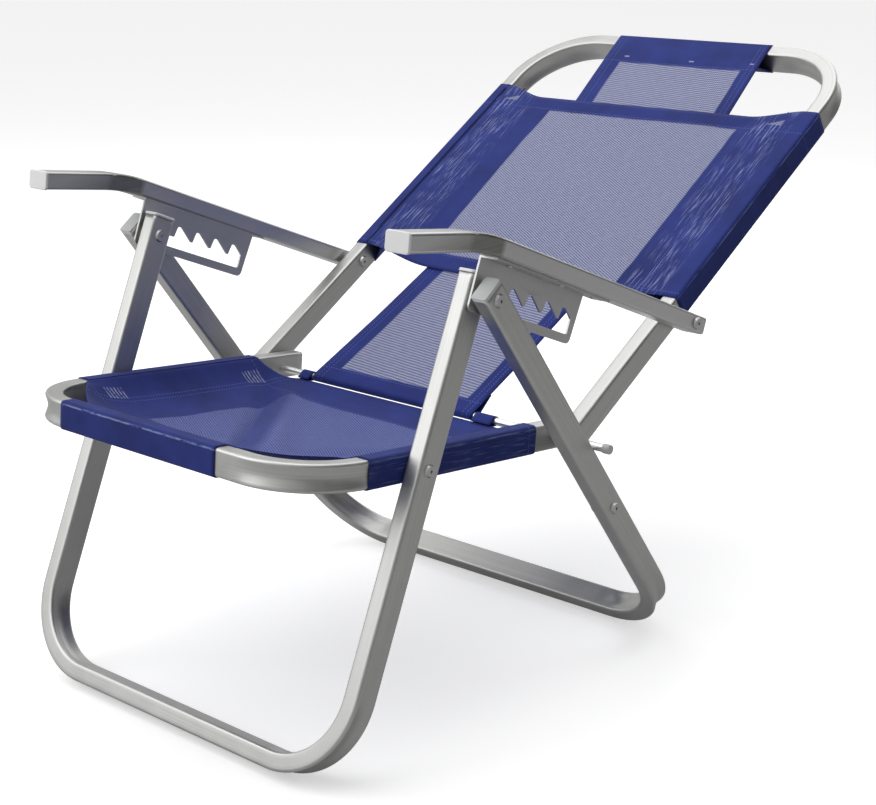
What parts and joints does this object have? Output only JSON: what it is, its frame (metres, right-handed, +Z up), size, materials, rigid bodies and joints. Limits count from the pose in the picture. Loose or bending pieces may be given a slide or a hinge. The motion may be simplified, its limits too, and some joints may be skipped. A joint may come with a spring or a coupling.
{
  "type": "beach chair",
  "caption": "Folding beach chair with bent aluminium tube frames, flat armrests with reclining racks, and a mesh seat, back and headrest band.",
  "frame": {"origin": "on the floor, under the middle of the chair's whole length and width as it stands open and fully reclined", "axes": "+X to the sitter's left, -Y towards the front of the chair, +Z up"},
  "size_m": [0.604, 1.0044, 0.6484],
  "materials": {
    "frame_tube": "bright drawn aluminium with a brushed grain",
    "arm_tube": "drawn aluminium, satin",
    "rack_plate": "pressed aluminium plate",
    "cap_plastic": "white moulded plastic",
    "plug_plastic": "light grey moulded plastic",
    "rivet_metal": "zinc plated steel",
    "washer_plastic": "natural nylon",
    "link_metal": "flat aluminium bar",
    "mesh_fabric": "woven polyester mesh, royal blue with a light striped centre"
  },
  "bodies": {
    "front_legs": {"front_leg_frame": "frame_tube", "front_leg_caps": "cap_plastic", "leg_bolts": "rivet_metal", "leg_bolt_washers": "washer_plastic", "seat_rivets": "rivet_metal", "seat_washers": "washer_plastic"},
    "rear_legs": {"rear_leg_frame": "frame_tube", "rear_leg_plugs": "plug_plastic", "leg_bolt_heads": "rivet_metal", "rear_leg_washers": "washer_plastic", "link_rivets": "rivet_metal"},
    "seat": {"seat_frame": "frame_tube", "seat_end_plugs": "plug_plastic", "seat_panel": "mesh_fabric"},
    "hinge": {"hinge_bar": "link_metal", "hinge_bar_caps": "plug_plastic", "hinge_spacers": "washer_plastic"},
    "left_link": {"left_link": "link_metal"},
    "right_link": {"right_link": "link_metal"},
    "back": {"back_frame": "frame_tube", "back_end_plugs": "plug_plastic", "back_panel": "mesh_fabric", "headrest_band": "mesh_fabric"},
    "arm_pivots": {"arm_pivot_rivets": "rivet_metal", "arm_pivot_washers": "washer_plastic"},
    "left_arm": {"left_arm_tube": "arm_tube", "left_arm_cap": "cap_plastic", "left_arm_end_plug": "plug_plastic", "left_rack": "rack_plate", "left_rack_rivets": "rivet_metal"},
    "right_arm": {"right_arm_tube": "arm_tube", "right_arm_cap": "cap_plastic", "right_arm_end_plug": "plug_plastic", "right_rack": "rack_plate", "right_rack_rivets": "rivet_metal"}
  },
  "joints": [
    {"name": "leg_fold", "type": "hinge", "parent": "front_legs", "child": "rear_legs", "pos_m": [0, -0.2715, 0.4755], "axis": [-1, 0, 0], "range_deg": [0, 59]},
    {"name": "seat_fold", "type": "hinge", "parent": "front_legs", "child": "seat", "pos_m": [0, -0.34675, 0.31144], "axis": [-1, 0, 0], "range_deg": [0, 95.5]},
    {"name": "hinge_bar_turn", "type": "hinge", "parent": "seat", "child": "hinge", "pos_m": [0, -0.108, 0.2806], "axis": [1, 0, 0], "range_deg": [0, 85.15]},
    {"name": "left_link_turn", "type": "hinge", "parent": "seat", "child": "left_link", "pos_m": [0, -0.108, 0.2806], "axis": [-1, 0, 0], "range_deg": [0, 101.54]},
    {"name": "right_link_turn", "type": "hinge", "parent": "seat", "child": "right_link", "pos_m": [0, -0.108, 0.2806], "axis": [-1, 0, 0], "range_deg": [0, 101.54]},
    {"name": "back_recline", "type": "hinge", "parent": "hinge", "child": "back", "pos_m": [0, -0.108, 0.2806], "axis": [1, 0, 0], "range_deg": [-0.5, 45.26]},
    {"name": "arm_pivot_turn", "type": "hinge", "parent": "back", "child": "arm_pivots", "pos_m": [0, 0.06726, 0.38363], "axis": [-1, 0, 0], "range_deg": [0, 95.63]},
    {"name": "left_arm_turn", "type": "hinge", "parent": "arm_pivots", "child": "left_arm", "pos_m": [0, 0.06726, 0.38363], "axis": [-1, 0, 0], "range_deg": [-0.4, 31.03]},
    {"name": "right_arm_turn", "type": "hinge", "parent": "arm_pivots", "child": "right_arm", "pos_m": [0, 0.06726, 0.38363], "axis": [-1, 0, 0], "range_deg": [-0.4, 31.03]}
  ],
  "couplings": [
    {"joint": "seat_fold", "follows": "leg_fold", "ratio": 1.6102},
    {"joint": "hinge_bar_turn", "follows": "leg_fold", "ratio": 1.4347},
    {"joint": "left_link_turn", "follows": "leg_fold", "ratio": 1.7125},
    {"joint": "right_link_turn", "follows": "leg_fold", "ratio": 1.7125},
    {"joint": "arm_pivot_turn", "follows": "leg_fold", "ratio": 1.6124},
    {"joint": "left_arm_turn", "follows": "back_recline", "ratio": 0.67895},
    {"joint": "right_arm_turn", "follows": "back_recline", "ratio": 0.67895}
  ]
}
